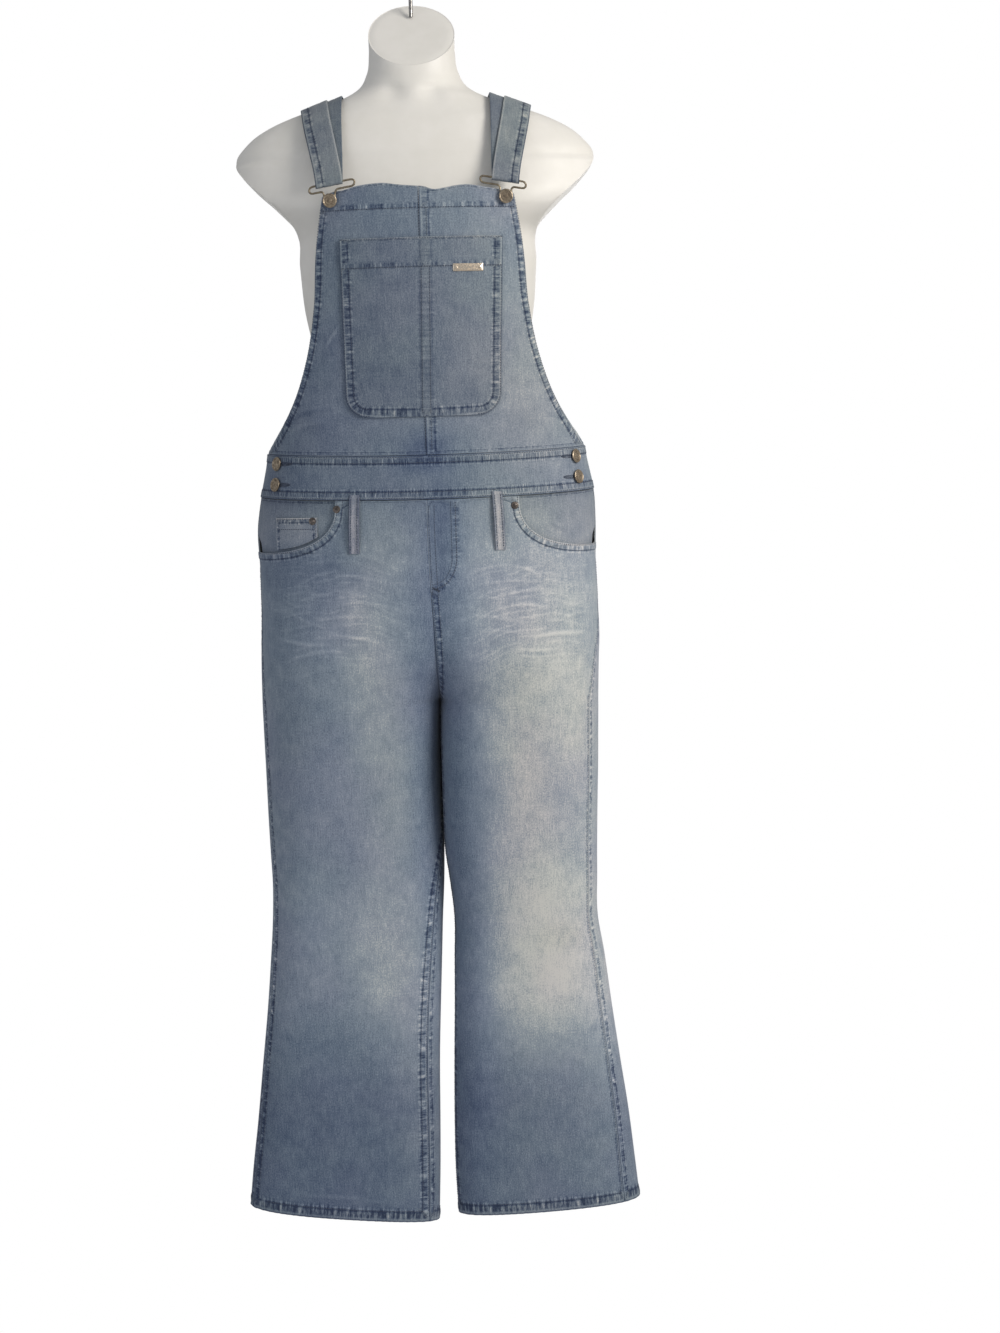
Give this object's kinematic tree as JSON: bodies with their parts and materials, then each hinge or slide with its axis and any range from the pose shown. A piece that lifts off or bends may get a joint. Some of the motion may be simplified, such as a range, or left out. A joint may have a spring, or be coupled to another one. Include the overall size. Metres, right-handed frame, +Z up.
{
  "type": "dungarees on a hanging torso form",
  "caption": "Mid-wash denim dungarees with a bib, flared cropped legs, wire strap buckles and side buttons, worn by a limbless white torso form on a wire hook",
  "frame": {"origin": "the point under the crook of the hook that bears on the rail or peg holding the form up", "axes": "+Z is up, along the hanging garment; the front of the bib faces -Y; +X is to the viewer's right, which is the wearer's left"},
  "size_m": [0.4937, 0.2415, 1.6379],
  "materials": {
    "denim": "mid-wash grey-blue denim, dry and matt, with fading on the thighs and knees",
    "denim_band": "mid-wash denim, double stitched along both edges",
    "denim_strap": "mid-wash denim, slightly greyer, stitched near its edges",
    "denim_pocket": "mid-wash denim, puckered along the stitching",
    "denim_loop": "mid-wash denim, worn paler along the folds",
    "antique_brass": "dull antique brass",
    "plate_metal": "bright plain metal plate",
    "rivet_metal": "darkened metal",
    "form_white": "smooth white moulded plastic, low sheen",
    "hook_steel": "plain steel wire"
  },
  "bodies": {
    "root": {"bib_left": "denim", "bib_right": "denim", "back_bib": "denim", "front_leg_left": "denim", "front_leg_right": "denim", "back_leg_left": "denim", "back_leg_right": "denim", "waistband_front": "denim_band", "waistband_back": "denim_band", "strap_left": "denim_strap", "strap_right": "denim_strap", "bib_pocket": "denim_pocket", "pocket_facing_left": "denim_pocket", "pocket_facing_right": "denim_pocket", "coin_pocket": "denim_pocket", "belt_loop_front_left": "denim_loop", "belt_loop_front_right": "denim_loop", "belt_loop_back_left": "denim_loop", "belt_loop_back_right": "denim_loop", "buckle_left": "antique_brass", "buckle_right": "antique_brass", "bib_button_left": "antique_brass", "bib_button_right": "antique_brass", "side_button_upper_left": "antique_brass", "side_button_upper_right": "antique_brass", "side_button_lower_left": "antique_brass", "side_button_lower_right": "antique_brass", "pocket_plate": "plate_metal", "rivet_left": "rivet_metal", "rivet_right": "rivet_metal", "rivet_coin": "rivet_metal", "form_torso": "form_white", "form_hook": "hook_steel"}
  },
  "joints": []
}
